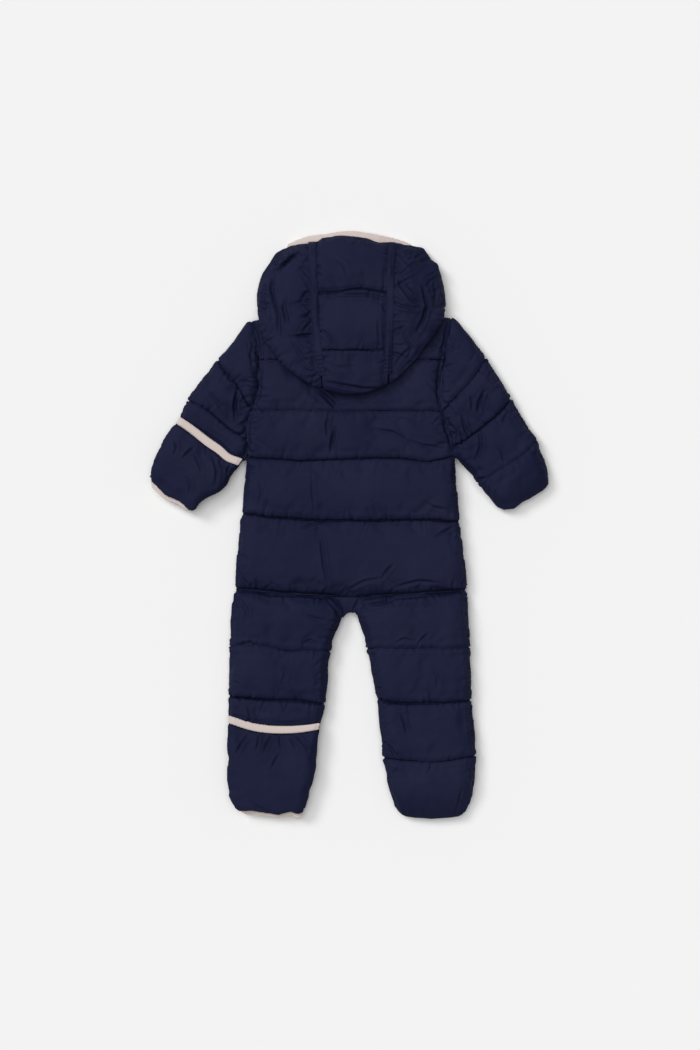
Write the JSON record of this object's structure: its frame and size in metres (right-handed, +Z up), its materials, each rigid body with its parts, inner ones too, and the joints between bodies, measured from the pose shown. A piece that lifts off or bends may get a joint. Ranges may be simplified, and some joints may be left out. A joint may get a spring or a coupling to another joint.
{
  "type": "baby snowsuit",
  "caption": "Padded, quilted baby snowsuit with a hood, fold-over mitts and booties, laid flat face down; the pull tab of its front zip turns on the slider.",
  "frame": {"origin": "Centre of the footprint, on the surface the suit lies on.", "axes": "+Z is up, out of the suit's back; +Y runs from the feet to the hood; +X is to the right with the hood at the top."},
  "size_m": [0.5316, 0.7866, 0.048],
  "materials": {
    "shell": "matte navy woven nylon, padded and quilted",
    "binding": "pale pink-beige ribbed knit",
    "zip_tape": "navy woven tape",
    "zip_chain": "dark navy coil",
    "zip_metal": "plain plated metal"
  },
  "bodies": {
    "garment": {"back": "shell", "front_left": "shell", "front_right": "shell", "sleeve_left": "shell", "sleeve_right": "shell", "leg_left": "shell", "leg_right": "shell", "gusset": "shell", "hood_centre": "shell", "hood_side_left": "shell", "hood_side_right": "shell", "hood_binding": "binding", "mitt_flap_left": "shell", "mitt_flap_right": "shell", "boot_flap_left": "shell", "boot_flap_right": "shell", "mitt_binding_left": "binding", "mitt_binding_right": "binding", "boot_binding_left": "binding", "boot_binding_right": "binding", "cuff_binding_left": "binding", "ankle_binding_left": "binding", "zip_tape_left": "zip_tape", "zip_tape_right": "zip_tape", "zip_chain": "zip_chain", "zip_slider": "zip_metal"},
    "zip_pull": {"zip_pull": "zip_metal"}
  },
  "joints": [
    {"name": "zip_pull_hinge", "type": "hinge", "parent": "garment", "child": "zip_pull", "pos_m": [-0.00004, 0.24571, 0.0025], "axis": [1, 0, 0], "range_deg": [0, 150]}
  ]
}
